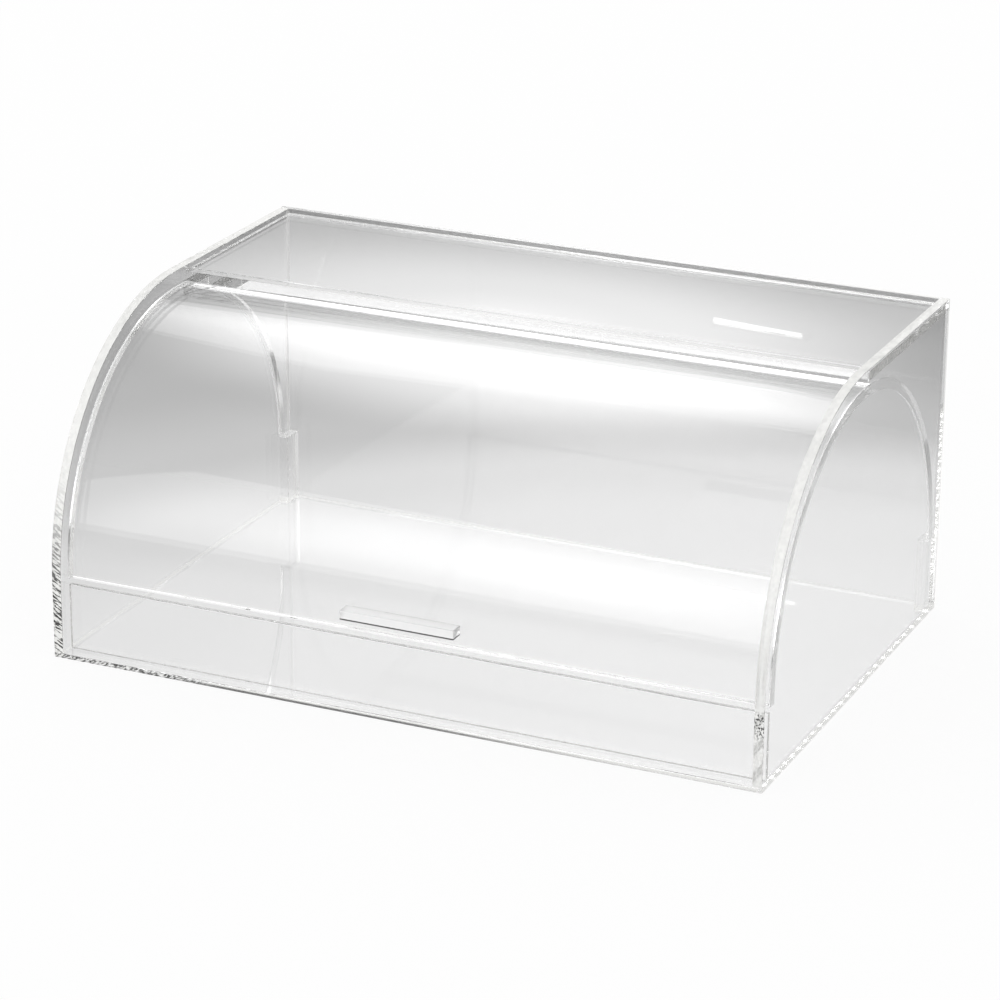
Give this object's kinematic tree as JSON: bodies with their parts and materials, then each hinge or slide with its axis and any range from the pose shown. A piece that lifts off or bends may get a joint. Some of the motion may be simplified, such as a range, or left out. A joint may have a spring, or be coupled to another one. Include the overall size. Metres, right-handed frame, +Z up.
{
  "type": "countertop bread display bin",
  "caption": "Clear acrylic countertop display bin with a low front lip and a curved door that rolls back in half-round side grooves over the top.",
  "frame": {"origin": "middle of the base panel's underside", "axes": "+X to the right as a customer sees the bin, -Y towards the customer, +Z up"},
  "size_m": [0.45, 0.3, 0.2],
  "materials": {
    "case_acrylic": "clear cast acrylic sheet, polished faces and sawn edges",
    "door_acrylic": "clear acrylic sheet, heat-formed to a round, polished",
    "handle_acrylic": "clear acrylic strip with polished edges"
  },
  "bodies": {
    "case": {"base_panel": "case_acrylic", "left_side_panel": "case_acrylic", "right_side_panel": "case_acrylic", "back_panel": "case_acrylic", "top_panel": "case_acrylic", "top_front_strip": "case_acrylic", "front_lip_panel": "case_acrylic", "left_rear_stop": "case_acrylic", "right_rear_stop": "case_acrylic"},
    "door": {"curved_door": "door_acrylic", "door_handle": "handle_acrylic"}
  },
  "joints": [
    {"name": "door_roll", "type": "hinge", "parent": "case", "child": "door", "pos_m": [0, 0, 0.05], "axis": [-1, 0, 0], "range_deg": [0, 85]}
  ]
}
